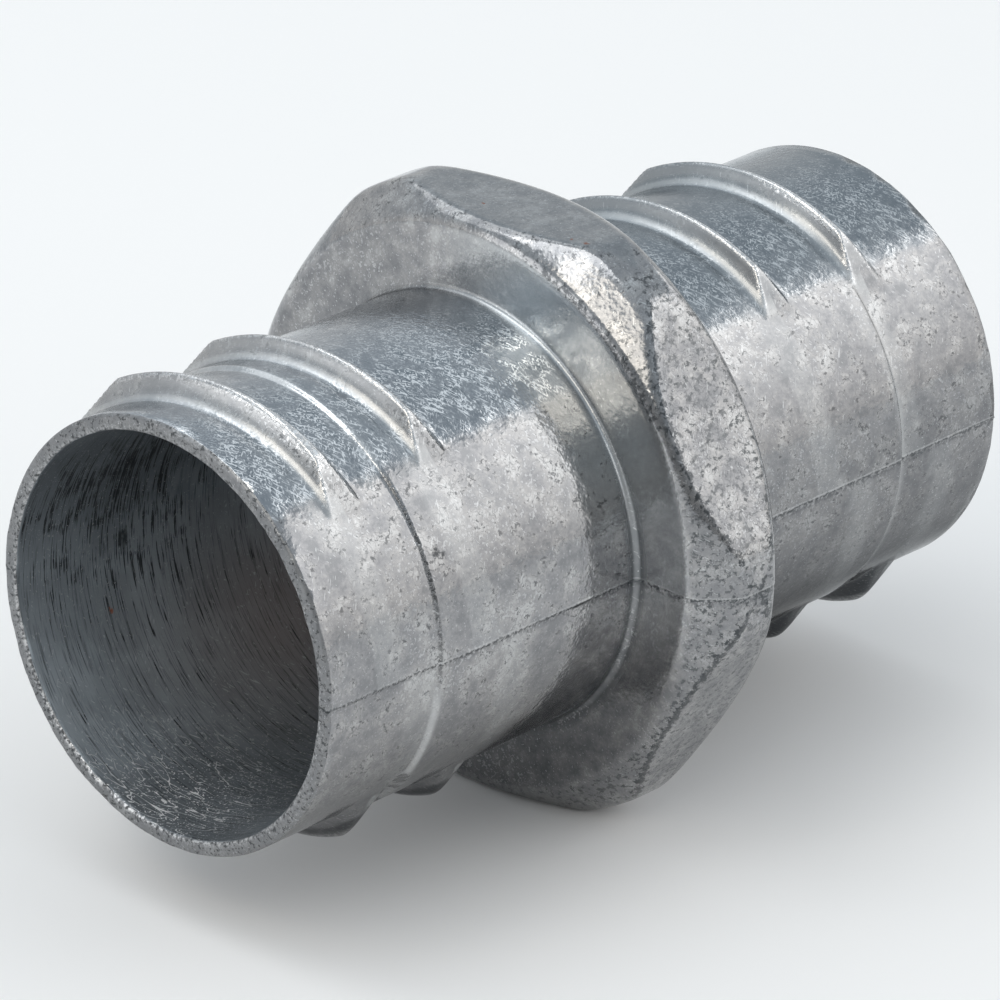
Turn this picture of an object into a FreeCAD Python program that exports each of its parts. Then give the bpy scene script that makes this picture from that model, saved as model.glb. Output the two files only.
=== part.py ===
import FreeCAD, Part
import math
import os

# A coupling for two lengths of flexible metal conduit, die cast in zinc alloy as one piece.
# Two thin spigots stand out of a hexagonal collar, and a plain bore runs through all of it.
# Broken helical ribs on each spigot screw into the hose's own spiral.
# Millimetres. +X runs along the bore, +Z is up, and the origin is on the bore's axis in the
# middle of the collar. The die parts in the level plane through the axis.

# Spigots
OVERALL_LENGTH = 78.0
SPIGOT_DIAMETER = 36.0
WALL = 1.3
MOUTH_BEVEL = 0.15

# The tube grows by a low step a little way in from each mouth
STEP_FROM_MOUTH = 12.2
STEP_HEIGHT = 0.3

# Hexagonal collar, with flats at the top and bottom and corners on the parting plane.
# The corners are turned down, and stand out past the flats by the rise.
COLLAR_ACROSS_FLATS = 49.5
COLLAR_CORNER_RISE = 2.05
COLLAR_THICKNESS = 9.8
COLLAR_CHAMFER_ANGLE = 47.0
COLLAR_CHAMFER_INSET = 0.75
COLLAR_ROOT_RADIUS = 0.7
COLLAR_EDGE_RADIUS = 0.6

# Ribs: each half of the die cuts a short run of the helix at either end
RIB_PITCH = 10.2
RIB_COUNT = 2
RIB_HEIGHT = 2.0
RIB_STEEP_FOOT = 1.1
RIB_SLOPING_FOOT = 1.9
RIB_CREST_WIDTH = 0.4
RIB_FULL_HALF_ANGLE = 30.0
RIB_FRONT_END_ANGLE = 44.0
RIB_BACK_END_ANGLE = 53.0
LEFT_UPPER_RIB_FROM_MOUTH = 5.6
LEFT_LOWER_RIB_FROM_MOUTH = 11.4
RIGHT_UPPER_RIB_FROM_MOUTH = 12.0
RIGHT_LOWER_RIB_FROM_MOUTH = 5.6

# Sizes that follow
HALF_LENGTH = OVERALL_LENGTH / 2
SPIGOT_RADIUS = SPIGOT_DIAMETER / 2
SHANK_RADIUS = SPIGOT_RADIUS + STEP_HEIGHT
BORE_RADIUS = SPIGOT_RADIUS - WALL
STEP_X = HALF_LENGTH - STEP_FROM_MOUTH
HALF_THICKNESS = COLLAR_THICKNESS / 2
CREST_RADIUS = SPIGOT_RADIUS + RIB_HEIGHT

AXIS = FreeCAD.Vector(1, 0, 0)
ORIGIN = FreeCAD.Vector(0, 0, 0)


def revolve_about_bore(edges):
    """Turns a closed outline, drawn with X along the bore and Y as the radius, into a solid."""
    face = Part.Face(Part.Wire(edges))
    return face.revolve(ORIGIN, AXIS, 360)


def polygon_edges(points):
    """Straight edges through the points, closed back to the first one."""
    return Part.makePolygon(points + points[:1]).Edges


def outer_tube():
    """The outside of both spigots as a solid bar, with the step and the fillet at the collar."""
    root_x = HALF_THICKNESS + COLLAR_ROOT_RADIUS
    root_radius = SHANK_RADIUS + COLLAR_ROOT_RADIUS
    sag = COLLAR_ROOT_RADIUS * (1 - math.sqrt(0.5))
    half = [
        FreeCAD.Vector(HALF_LENGTH, 0, 0),
        FreeCAD.Vector(HALF_LENGTH, SPIGOT_RADIUS - MOUTH_BEVEL, 0),
        FreeCAD.Vector(HALF_LENGTH - MOUTH_BEVEL, SPIGOT_RADIUS, 0),
        FreeCAD.Vector(STEP_X + STEP_HEIGHT, SPIGOT_RADIUS, 0),
        FreeCAD.Vector(STEP_X, SHANK_RADIUS, 0),
        FreeCAD.Vector(root_x, SHANK_RADIUS, 0),
    ]
    arc_middle = FreeCAD.Vector(HALF_THICKNESS + sag, SHANK_RADIUS + sag, 0)
    arc_end = FreeCAD.Vector(HALF_THICKNESS, root_radius, 0)
    mirrored = [FreeCAD.Vector(-p.x, p.y, 0) for p in half]
    mirrored_middle = FreeCAD.Vector(-arc_middle.x, arc_middle.y, 0)
    mirrored_end = FreeCAD.Vector(-arc_end.x, arc_end.y, 0)
    edges = Part.makePolygon(half).Edges
    edges.append(Part.Arc(half[-1], arc_middle, arc_end).toShape())
    edges.append(Part.makeLine(arc_end, mirrored_end))
    edges.append(Part.Arc(mirrored_end, mirrored_middle, mirrored[-1]).toShape())
    edges += Part.makePolygon(mirrored[::-1]).Edges
    edges.append(Part.makeLine(mirrored[0], half[0]))
    return revolve_about_bore(edges)


def collar():
    """A hexagon with its corners turned off, cut back at both ends by cones that leave each flat a lens."""
    flat_radius = COLLAR_ACROSS_FLATS / 2
    corner_radius = flat_radius / math.cos(math.radians(30))
    turned_radius = flat_radius + COLLAR_CORNER_RISE
    corners = []
    for index in range(6):
        angle = math.radians(60 * index)
        corners.append(FreeCAD.Vector(
            -HALF_THICKNESS, corner_radius * math.cos(angle), corner_radius * math.sin(angle)))
    hexagon = Part.Face(Part.makePolygon(corners + corners[:1])).extrude(AXIS * COLLAR_THICKNESS)
    round_bar = Part.makeCylinder(turned_radius, COLLAR_THICKNESS, AXIS * -HALF_THICKNESS, AXIS)
    face_radius = flat_radius - COLLAR_CHAMFER_INSET
    cone_tip = face_radius + HALF_THICKNESS / math.tan(math.radians(COLLAR_CHAMFER_ANGLE))
    cones = revolve_about_bore(polygon_edges([
        FreeCAD.Vector(-HALF_THICKNESS, 0, 0),
        FreeCAD.Vector(-HALF_THICKNESS, face_radius, 0),
        FreeCAD.Vector(0, cone_tip, 0),
        FreeCAD.Vector(HALF_THICKNESS, face_radius, 0),
        FreeCAD.Vector(HALF_THICKNESS, 0, 0),
    ]))
    sharp = hexagon.common(round_bar).common(cones)
    return sharp.makeFillet(COLLAR_EDGE_RADIUS, sharp.Edges)


def runout_side(end_angle):
    """The slanted cut at one end of a rib, as a line in the YZ plane from below its foot to above its crest."""
    full = math.radians(RIB_FULL_HALF_ANGLE)
    end = math.radians(end_angle)
    crest = FreeCAD.Vector(-HALF_LENGTH, CREST_RADIUS * math.sin(full), CREST_RADIUS * math.cos(full))
    foot = FreeCAD.Vector(-HALF_LENGTH, SPIGOT_RADIUS * math.sin(end), SPIGOT_RADIUS * math.cos(end))
    slope = (crest - foot).normalize()
    return foot - slope * RIB_HEIGHT, crest + slope * RIB_HEIGHT


def runout_prism():
    """A wedge along the bore whose two slanted sides cut a rib's ends down to the tube."""
    back_below, back_above = runout_side(RIB_BACK_END_ANGLE)
    outline = [back_above, back_below]
    for p in runout_side(RIB_FRONT_END_ANGLE):
        outline.append(FreeCAD.Vector(p.x, -p.y, p.z))
    return Part.Face(Part.makePolygon(outline + outline[:1])).extrude(AXIS * OVERALL_LENGTH)


def upper_rib(x):
    """One rib over the top of the tube: a run of right-hand helix, cut off slantwise at its ends."""
    root_radius = SPIGOT_RADIUS - WALL / 2
    half_crest = RIB_CREST_WIDTH / 2
    sink = (SPIGOT_RADIUS - root_radius) / RIB_HEIGHT
    steep_root = RIB_STEEP_FOOT + (RIB_STEEP_FOOT - half_crest) * sink
    sloping_root = RIB_SLOPING_FOOT + (RIB_SLOPING_FOOT - half_crest) * sink
    half_span = max(RIB_FRONT_END_ANGLE, RIB_BACK_END_ANGLE) + math.degrees(RIB_HEIGHT / SPIGOT_RADIUS)
    rise = RIB_PITCH * 2 * half_span / 360
    path = Part.Wire(Part.makeHelix(RIB_PITCH, rise, SPIGOT_RADIUS).Edges)
    outline = Part.makePolygon([
        FreeCAD.Vector(root_radius, 0, -steep_root),
        FreeCAD.Vector(CREST_RADIUS, 0, -half_crest),
        FreeCAD.Vector(CREST_RADIUS, 0, half_crest),
        FreeCAD.Vector(root_radius, 0, sloping_root),
        FreeCAD.Vector(root_radius, 0, -steep_root),
    ])
    ridge = path.makePipeShell([outline], True, True)
    # the helix is made about Z from X, and is turned here so that it climbs along the bore over the top
    ridge.rotate(ORIGIN, FreeCAD.Vector(1, 1, 1), 120)
    ridge.rotate(ORIGIN, AXIS, 90 - half_span)
    ridge.translate(AXIS * (x - rise / 2))
    return ridge.common(runout_prism())


def lower_rib(x):
    """An upper rib turned over about Y, which keeps the hand of its helix."""
    ridge = upper_rib(-x)
    ridge.rotate(ORIGIN, FreeCAD.Vector(0, 1, 0), 180)
    return ridge


def ribs():
    """All the ribs, each row counted from its mouth towards the collar."""
    made = []
    for index in range(RIB_COUNT):
        inward = index * RIB_PITCH
        made.append(upper_rib(-HALF_LENGTH + LEFT_UPPER_RIB_FROM_MOUTH + inward))
        made.append(lower_rib(-HALF_LENGTH + LEFT_LOWER_RIB_FROM_MOUTH + inward))
        made.append(upper_rib(HALF_LENGTH - RIGHT_UPPER_RIB_FROM_MOUTH - inward))
        made.append(lower_rib(HALF_LENGTH - RIGHT_LOWER_RIB_FROM_MOUTH - inward))
    return made


def bore():
    """The through bore, with a small bevel at each mouth."""
    mouth_radius = BORE_RADIUS + MOUTH_BEVEL
    return revolve_about_bore(polygon_edges([
        FreeCAD.Vector(-HALF_LENGTH, 0, 0),
        FreeCAD.Vector(-HALF_LENGTH, mouth_radius, 0),
        FreeCAD.Vector(-HALF_LENGTH + MOUTH_BEVEL, BORE_RADIUS, 0),
        FreeCAD.Vector(HALF_LENGTH - MOUTH_BEVEL, BORE_RADIUS, 0),
        FreeCAD.Vector(HALF_LENGTH, mouth_radius, 0),
        FreeCAD.Vector(HALF_LENGTH, 0, 0),
    ]))


os.makedirs("parts", exist_ok=True)
casting = outer_tube().multiFuse([collar()] + ribs()).removeSplitter().cut(bore())
solid = casting.Solids[0]
solid.exportStep("parts/coupling_body.step")
print("solids", len(casting.Solids), "valid", solid.isValid(), "volume mm3", round(solid.Volume, 1))
print("box", solid.BoundBox)
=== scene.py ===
# %% [markdown]
# A zinc conduit coupling
#
# The coupling is one die casting: two thin ribbed spigots, a hexagonal collar and a plain bore.
# The CAD model already gives its true size and place, so it is loaded first and is never moved.
# The piece made below stands in for it, with the soft edges, ribs and marks of a real casting.

# %% Load the CAD frame
import math
import bpy
import numpy as np
from mathutils import Matrix, Quaternion, Vector, noise


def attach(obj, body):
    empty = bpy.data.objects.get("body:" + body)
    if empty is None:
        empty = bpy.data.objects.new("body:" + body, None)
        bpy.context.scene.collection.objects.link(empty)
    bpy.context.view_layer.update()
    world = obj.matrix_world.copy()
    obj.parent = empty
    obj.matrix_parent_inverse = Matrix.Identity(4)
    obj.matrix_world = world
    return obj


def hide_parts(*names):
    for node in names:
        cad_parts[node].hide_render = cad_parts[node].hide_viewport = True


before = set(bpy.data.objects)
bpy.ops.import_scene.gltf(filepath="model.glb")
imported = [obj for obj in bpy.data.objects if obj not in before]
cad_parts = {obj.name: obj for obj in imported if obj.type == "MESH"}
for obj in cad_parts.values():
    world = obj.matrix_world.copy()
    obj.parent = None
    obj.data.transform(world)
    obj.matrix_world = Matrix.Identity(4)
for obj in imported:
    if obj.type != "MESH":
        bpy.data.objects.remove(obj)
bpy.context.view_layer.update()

# %% [markdown]
# Sizes
#
# Every size is in millimetres and repeats the CAD source, because this script can't read that file.
# They could be typed where they are used, but a named size is found and changed in one place.
# +X runs along the bore, +Z is up and the origin is in the middle of the collar.
# Angles round the bore are in degrees. They start at the side that faces the camera (-Y) and grow towards
# the top (+Z).

# %% Sizes of the casting
MM = 0.001
HALF_LENGTH = 39.0
SPIGOT_RADIUS = 18.0
BORE_RADIUS = 16.7
STEP_X = 26.8
STEP_HEIGHT = 0.3
RIB_PITCH = 10.2
RIB_HEIGHT = 2.0
LEFT_UPPER_RIBS = (-33.4, -23.2)
LEFT_LOWER_RIBS = (-27.6, -17.4)
RIGHT_UPPER_RIBS = (16.8, 27.0)
RIGHT_LOWER_RIBS = (23.2, 33.4)
print("length", 2 * HALF_LENGTH, "over the crests", 2 * (SPIGOT_RADIUS + RIB_HEIGHT), "mm")

# %% [markdown]
# The profile of the blank
#
# A casting like this could be built from solids joined by booleans, but that leaves hard creases,
# and a remesh that is fine enough for the rib crests would be too heavy.
# So a turned blank is made first, with its rings packed closely where ribs and edges will come.
# Its profile is the section of one wall: a list of places along the bore, each with its radius.

# %% Rings along the spigots
SPIGOT_START = 6.1
SPIGOT_END = 38.6
RING_SPACING = 0.95
RING_CLEARANCE = 0.25
STEEP_RINGS = (-2.4, -2.1, -1.85, -1.6, -1.4, -1.2, -1.0, -0.8, -0.62, -0.46, -0.32, -0.2, -0.07)
SLOPING_RINGS = (0.07, 0.2, 0.32, 0.46, 0.62, 0.8, 1.0, 1.25, 1.55, 1.95, 2.4)
RIB_RINGS = STEEP_RINGS + SLOPING_RINGS
STEP_RINGS = (-0.55, -0.4, -0.28, -0.16, -0.04, 0.08, 0.2, 0.32, 0.48)


def spigot_rings(ribs, start, end, step_rings):
    """Rings along a spigot: close together across each rib and at the step, wider apart elsewhere."""
    places = list(step_rings)
    for rib in ribs:
        places += [rib + ring for ring in RIB_RINGS]
    edges = [start] + [rib + side for rib in ribs for side in (RIB_RINGS[0], RIB_RINGS[-1])] + [end]
    for low, high in zip(edges[0::2], edges[1::2]):
        gaps = max(2, int(round((high - low) / RING_SPACING)))
        for place in np.linspace(low, high, gaps + 1)[1:-1]:
            if all(abs(place - ring) > RING_CLEARANCE for ring in step_rings):
                places.append(place)
    return [(place, SPIGOT_RADIUS) for place in sorted(places + [start, end])]


left_step = [-STEP_X + ring for ring in STEP_RINGS]
left_rings = spigot_rings(LEFT_UPPER_RIBS, -SPIGOT_END, -SPIGOT_START, left_step)
right_rings = spigot_rings(RIGHT_UPPER_RIBS, SPIGOT_START, SPIGOT_END, [])
print("rings on the spigots", len(left_rings), len(right_rings))

# %% Rings of the mouths
RIM_INNER_ROUND = 0.28
RIM_OUTER_ROUND = 0.4
RIM_FLAT_RINGS = (0.5, 0.7)


def mouth_rings(side):
    """The rim of one mouth, from the bore's edge to the outside, with both corners worn round."""
    rings = []
    for bend in np.radians((0, 30, 60, 90)):
        rings.append((
            BORE_RADIUS + RIM_INNER_ROUND * (1 - math.cos(bend)), RIM_INNER_ROUND * (1 - math.sin(bend))))
    rings += [(BORE_RADIUS + outward, 0.0) for outward in RIM_FLAT_RINGS]
    for bend in np.radians((0, 22, 45, 68)):
        rings.append((
            SPIGOT_RADIUS - RIM_OUTER_ROUND * (1 - math.sin(bend)), RIM_OUTER_ROUND * (1 - math.cos(bend))))
    return [(side * (HALF_LENGTH - inset), ring) for ring, inset in rings]


left_mouth = mouth_rings(-1)
right_mouth = mouth_rings(1)[::-1]
print("rings on each mouth", len(left_mouth))

# %% Rings of the collar
FACE_RADIUS = 24.0
HALF_THICKNESS = 4.9
CHAMFER_SLOPE = 1 / math.tan(math.radians(47))
ROOT_RADIUS = 0.5
EDGE_SOFTNESS = 1.0
EDGE_INSET = 0.64
SHANK_RADIUS = SPIGOT_RADIUS + STEP_HEIGHT


def half_collar_rings():
    """Half of the collar from its root fillet to its middle: fillet, face, softened edge and chamfer."""
    rings = []
    for bend in np.radians(np.linspace(0, 90, 7)):
        rings.append((
            HALF_THICKNESS + ROOT_RADIUS * (1 - math.sin(bend)),
            SHANK_RADIUS + ROOT_RADIUS * (1 - math.cos(bend))))
    for ring in np.linspace(SHANK_RADIUS + ROOT_RADIUS, FACE_RADIUS - EDGE_SOFTNESS, 7)[1:]:
        rings.append((HALF_THICKNESS, ring))
    for back in np.linspace(0.0, 1.0, 9)[1:]:
        # a parabola from the face to the cone softens the edge between them
        inset = EDGE_INSET * EDGE_SOFTNESS * back * back
        rings.append((
            HALF_THICKNESS - inset, FACE_RADIUS - EDGE_SOFTNESS * (1 - back) ** 2 + inset * CHAMFER_SLOPE))
    for place in np.linspace(rings[-1][0], 0.0, 17)[1:]:
        rings.append((place, FACE_RADIUS + (HALF_THICKNESS - place) * CHAMFER_SLOPE))
    return rings


half_collar = half_collar_rings()
collar = [(-place, ring) for place, ring in half_collar] + half_collar[-2::-1]
print("rings on the collar", len(collar))

# %% Rings of the bore, and the whole profile
COLUMNS = 364
BORE_RINGS = (38.4, 37.6, 36.0, 33.0, 25.0, 15.0, 5.0)
bore = [(place, BORE_RADIUS) for place in BORE_RINGS] + [(-place, BORE_RADIUS) for place in BORE_RINGS[::-1]]
profile = left_mouth + left_rings + collar + right_rings + right_mouth + bore
print("rings", len(profile), "triangles", 2 * len(profile) * COLUMNS)

# %% [markdown]
# The turned blank
#
# The blank is what a lathe would make of the casting: everything but the ribs, the flats and the wear.
# A cylinder could be cut to it ring by ring, but a profile that is drawn once and spun is exact everywhere.
# A plane is merged to one vertex, which is extruded from ring to ring, closed to a loop and spun.

# %% Draw the profile
bpy.ops.object.select_all(action="DESELECT")
bpy.ops.mesh.primitive_plane_add(size=MM, location=(0, 0, 0))
coupling = bpy.context.object
coupling.name = "zinc_coupling"
coupling.data.name = "zinc_coupling"
bpy.ops.object.mode_set(mode="EDIT")
bpy.ops.mesh.select_all(action="SELECT")
bpy.ops.mesh.merge(type="CENTER")
drawn_to = Vector((0, 0, 0))
for index, (ring_place, ring_size) in enumerate(profile):
    target = Vector((ring_place * MM, 0, ring_size * MM))
    if index == 0:
        bpy.ops.transform.translate(value=target)
    else:
        bpy.ops.mesh.extrude_vertices_move(TRANSFORM_OT_translate={"value": target - drawn_to})
    drawn_to = target
bpy.ops.object.mode_set(mode="OBJECT")
print("profile vertices", len(coupling.data.vertices))

# %% Close the profile and spin it
for vertex in coupling.data.vertices:
    vertex.select = vertex.index in (0, len(profile) - 1)
bpy.ops.object.mode_set(mode="EDIT")
bpy.ops.mesh.edge_face_add()
bpy.ops.mesh.select_all(action="SELECT")
bpy.ops.mesh.spin(steps=COLUMNS, angle=2 * math.pi, center=(0, 0, 0), axis=(1, 0, 0))
bpy.ops.mesh.select_all(action="SELECT")
bpy.ops.mesh.remove_doubles(threshold=0.01 * MM)
bpy.ops.mesh.normals_make_consistent(inside=False)
bpy.ops.object.mode_set(mode="OBJECT")
bpy.ops.object.shade_smooth()
print("blank vertices", len(coupling.data.vertices), "faces", len(coupling.data.polygons))

# %% [markdown]
# Soft shapes
#
# Molten zinc leaves no sharp corner in a die: ribs, edges and tube meet by small fillets.
# A bevel could round them, but the ribs run out into the tube, where a bevel has no edge to follow.
# So each vertex is moved by a worked-out height, and where two heights cross, a soft maximum or minimum
# leaves the fillet.

# %% Helpers for soft shapes


def soft_max(first, second, fillet):
    """The larger of two heights, with a fillet where they cross."""
    blend = np.maximum(fillet - np.abs(first - second), 0)
    return np.maximum(first, second) + blend * blend / (4 * fillet)


def soft_min(first, second, fillet):
    """The smaller of two heights, with the corner rounded off."""
    return -soft_max(-first, -second, fillet)


def ease(value, none, full):
    """Rises smoothly from 0 to 1 between two values."""
    way = np.clip((value - none) / (full - none), 0, 1)
    return way * way * (3 - 2 * way)


def ripple(points, feature, seed):
    """Smooth noise between about -1 and 1 at points in mm, with features of the given size in mm."""
    shift = np.array([seed * 17.3, seed * 5.1, seed * 11.7])
    return np.array([noise.noise(Vector(point)) for point in points / feature + shift])


print("a fillet of 1 mm lifts a crossing by", soft_max(0.0, 0.0, 1.0), "mm")

# %% Read the blank
TOLERANCE = 0.02
COLLAR_REACH = 5.7
vertex_count = len(coupling.data.vertices)
blank = np.empty(vertex_count * 3, np.float32)
coupling.data.vertices.foreach_get("co", blank)
blank = blank.reshape(-1, 3).astype(float) / MM
ring_x = blank[:, 0]
ring_radius = np.hypot(blank[:, 1], blank[:, 2])
ring_angle = np.degrees(np.arctan2(blank[:, 2], -blank[:, 1]))
in_bore = ring_radius < BORE_RADIUS + TOLERANCE
between_ends = (np.abs(ring_x) < SPIGOT_END + TOLERANCE) & (np.abs(ring_x) > SPIGOT_START - TOLERANCE)
on_spigot = (np.abs(ring_radius - SPIGOT_RADIUS) < TOLERANCE) & between_ends
on_collar = (np.abs(ring_x) < COLLAR_REACH) & ~in_bore
print("bore", in_bore.sum(), "spigots", on_spigot.sum(), "collar", on_collar.sum())

# %% [markdown]
# Columns at the parting plane
#
# The two halves of the die meet at the height of the bore's middle, and leave a hair-thin raised line there.
# The line is narrower than the mesh's columns, and more columns all round would make the mesh too heavy.
# So the columns are moved round the bore until they stand about three times as close at the line.

# %% Crowd the columns
CROWDING = 2.2
CROWD_WIDTH = 1.6
grid = np.linspace(-180, 180, 7201)
off_parting = np.minimum(np.abs(grid), 180 - np.abs(grid))
crowd = 1 + CROWDING * np.exp(-(off_parting / CROWD_WIDTH) ** 2)
travel = np.concatenate([[0], np.cumsum((crowd[1:] + crowd[:-1]) / 2)])
travel = travel / travel[-1] * 360 - 180
angle = np.interp(ring_angle, travel, grid)
upper = angle >= 0
print("columns within 2 degrees of the line", len(np.unique(angle[np.abs(angle) < 2].round(3))))

# %% [markdown]
# Rings that follow the helix
#
# The ribs climb along the bore as a thread does, and those of the lower half lie between those of the upper.
# Straight rings would cross them at a slant and leave a jagged crest.
# So the rings slide along the bore first, until the close ones lie along every rib.

# %% Slide the rings
SLIDE_PLACES = (-38.6, -35.2, -30.8, -27.4, -26.2, -24.9, -20.6, -6.1, 6.1, 15.0, 29.6, 38.6)
# 1 where rings follow a rib, and 0 where the mouths, the step and the collar keep them straight
UPPER_SLIDES = (0, 1, 1, 0, 0, 1, 1, 0, 0, 1, 1, 0)
LOWER_SLIDES = (0, 1, 1, 1, 1, 1, 1, 0, 0, 1, 1, 0)


def lower_place(place):
    """Where a ring of the upper half lies on the lower half, whose ribs are elsewhere."""
    ends = (-HALF_LENGTH, -SPIGOT_END, -SPIGOT_START, SPIGOT_START, SPIGOT_END, HALF_LENGTH)
    pairs = [(end, end) for end in ends]
    for above, below in zip(LEFT_UPPER_RIBS + RIGHT_UPPER_RIBS, LEFT_LOWER_RIBS + RIGHT_LOWER_RIBS):
        pairs += [(above + side, below + side) for side in (RIB_RINGS[0], RIB_RINGS[-1])]
    knots, places = zip(*sorted(pairs))
    return np.interp(place, knots, places)


# the turn is 0 at the top of the upper ribs and at the foot of the lower ones
turn = np.where(upper, 90 - angle, -(90 + angle))
# the slide fades out before the parting plane
slide = RIB_PITCH / 360 * np.clip(turn, -35, 50) * (1 - ease(np.abs(turn), 50, 90))
# just below the front, and just above the parting plane behind, the lower half's places take over
front_side = np.abs(angle) <= 90
upper_share = np.where(front_side, ease(angle, -46, -34), ease(180 - np.abs(angle), 20, 35))
upper_share = np.where(~front_side & ~upper, 0, upper_share)
lower_x = lower_place(ring_x)
upper_slid = ring_x + slide * np.interp(ring_x, SLIDE_PLACES, UPPER_SLIDES)
lower_slid = lower_x + slide * np.interp(lower_x, SLIDE_PLACES, LOWER_SLIDES)
x = np.where(on_spigot, upper_share * upper_slid + (1 - upper_share) * lower_slid, ring_x)
print("rings slid by up to", round(np.abs(x - ring_x).max(), 2), "mm")

# %% [markdown]
# The ribs
#
# The ribs screw into a spiral hose: one flank is steep, the other slopes, and the crest is narrow.
# Each is cut off by a slanted facet near the parting plane, so that the die can open.
# They could be swept along a helix and joined on, but their feet melt into the tube.
# So they are raised from the tube itself.

# %% Section and ends of a rib
RIB_HALF_CREST = 0.2
RIB_STEEP_FOOT = 1.1
RIB_SLOPING_FOOT = 1.9
CREST_ROUND = 0.4
# angles at which a facet leaves the crest and reaches the tube, on the camera's side and behind
FRONT_FACET = (60, 42.5)
BACK_FACET = (120, 143)


def facet_radius(full_angle, end_angle):
    """Radius of the slanted facet that ends a rib: a plane through its crest and its foot."""
    full = math.radians(full_angle)
    end = math.radians(end_angle)
    crest_point = (SPIGOT_RADIUS + RIB_HEIGHT) * np.array([math.cos(full), math.sin(full)])
    foot_point = SPIGOT_RADIUS * np.array([math.cos(end), math.sin(end)])
    run = foot_point - crest_point
    normal = np.array([run[1], -run[0]]) / np.linalg.norm(run)
    if normal @ crest_point < 0:
        normal = -normal
    off = np.radians(np.abs(angle)) - math.atan2(normal[1], normal[0])
    inward = off if end_angle < 90 else -off
    return np.where(inward > 0, normal @ crest_point / np.maximum(np.cos(off), 0.2), 0.0)


def rib_section(middle, steep_side):
    """Height of a rib's triangular section over the tube, and the distance across it."""
    across = (x - middle) * steep_side
    foot_width = np.where(across > 0, RIB_STEEP_FOOT, RIB_SLOPING_FOOT)
    slope = RIB_HEIGHT * (foot_width - np.abs(across)) / (foot_width - RIB_HALF_CREST)
    return soft_min(slope, np.full(vertex_count, RIB_HEIGHT), CREST_ROUND), across


facet = soft_min(facet_radius(*FRONT_FACET), facet_radius(*BACK_FACET), 0.1)
print("vertices under the facets", int((facet < SPIGOT_RADIUS + RIB_HEIGHT).sum()))

# %% Raise the ribs
STEEP_FILLET = 1.8
SLOPING_FILLET = 0.5
UPPER_TRIM = 0.12
LOWER_TRIM = 0.8
FEATHER = 0.1
WORN_OFF = 0.35
WORN_TURNS = (12, 38)
RIB_REACH = 4
FACET_EDGE = 0.22
CREST_BAND = (0.65, 0.35)
HOLLOW_RISE = 0.3
HOLLOW_SPREAD = 0.28
HOLLOW_REACH = 2.8
tube = SPIGOT_RADIUS + STEP_HEIGHT * (1 - ease(np.abs(x), STEP_X - 0.1, STEP_X + 0.35))
radius = np.where(on_spigot, tube, ring_radius)
crest_share = np.zeros(vertex_count)
foot_share = np.zeros(vertex_count)
for ribs, half, steep_side in (
        (LEFT_UPPER_RIBS + RIGHT_UPPER_RIBS, upper, -1), (LEFT_LOWER_RIBS + RIGHT_LOWER_RIBS, ~upper, 1)):
    for rib in ribs:
        section, across = rib_section(rib + RIB_PITCH * turn / 360, steep_side)
        # the rib at the near mouth is worn down towards its front end
        worn = WORN_OFF * ease(turn, *WORN_TURNS) if rib == LEFT_UPPER_RIBS[0] else 0
        fillet = np.where(across > 0, STEEP_FILLET, SLOPING_FILLET)
        ridge = soft_max(tube, SPIGOT_RADIUS + np.minimum(section, RIB_HEIGHT - worn), fillet)
        trimmed = soft_min(ridge, facet, np.where(half & upper, UPPER_TRIM, LOWER_TRIM)) - tube
        feathered = np.maximum(trimmed, 0) ** 2 / (2 * FEATHER)
        rise = np.where(trimmed < FEATHER, feathered, trimmed - FEATHER / 2)
        here = on_spigot & half & (np.abs(across) < RIB_REACH)
        radius = np.where(here, np.maximum(radius, tube + rise), radius)
        # the crest and the facet's upper edge are kept for their wear and a painted highlight, and the hollow
        # along the steep foot for a painted highlight and a duller finish
        facet_edge = np.exp(-((ridge - facet) / FACET_EDGE) ** 2) * ease(rise, 0.15, 0.5) * upper
        ridge_top = ease(rise, *(RIB_HEIGHT - worn - below for below in CREST_BAND))
        crest_share = np.where(here, np.maximum(crest_share, np.maximum(ridge_top, facet_edge)), crest_share)
        hollow = np.exp(-((rise - HOLLOW_RISE) / HOLLOW_SPREAD) ** 2)
        hollow = hollow * (across > 0) * (np.abs(across) < HOLLOW_REACH)
        foot_share = np.where(here, np.maximum(foot_share, hollow), foot_share)
print("highest crest", round(radius[on_spigot].max(), 2), "mm")

# %% [markdown]
# The collar's flats
#
# A spanner holds the collar by six flats, and the chamfers of the turned blank leave them lens-shaped.
# A boolean with a hexagonal bar would give them, with sharp edges.
# Here the radius is the soft minimum of the turned shape and the flat, which rounds those edges in one step.

# %% Press in the flats
FLAT_RADIUS = 24.75
TURNED_RADIUS = 26.8
TURNED_ROUND = 0.6
FLAT_ROUND = 0.55
to_flat = np.abs((angle % 60) - 30)
flat_radius = FLAT_RADIUS / np.cos(np.radians(to_flat))
turned_collar = soft_min(ring_radius, np.full(vertex_count, TURNED_RADIUS), TURNED_ROUND)
radius = np.where(on_collar, soft_min(turned_collar, flat_radius, FLAT_ROUND), radius)
print("across flats", round(2 * radius[on_collar & (to_flat < 0.6)].max(), 2), "mm")

# %% [markdown]
# The parting line
#
# Where the halves of the die met, a little zinc was squeezed out in a broken line, and the lower half
# is set in by a hair.
# A dark line in the colour alone would look painted on.
# So the line is raised too, by a narrow ridge that smooth noise breaks up along the bore.

# %% Raise the parting line
FLASH_WIDTH = 0.13
NEAR_FLASH = 0.04
FAR_FLASH = 0.10
FLASH_BREAKS = 1.7
DIE_SHIFT = 0.05
COLLAR_MARGIN = 0.01
bearing = np.radians(angle)
z = radius * np.sin(bearing)
flash = np.exp(-(z / FLASH_WIDTH) ** 2) * (~in_bore) * (np.abs(x) < HALF_LENGTH - 0.2)
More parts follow.
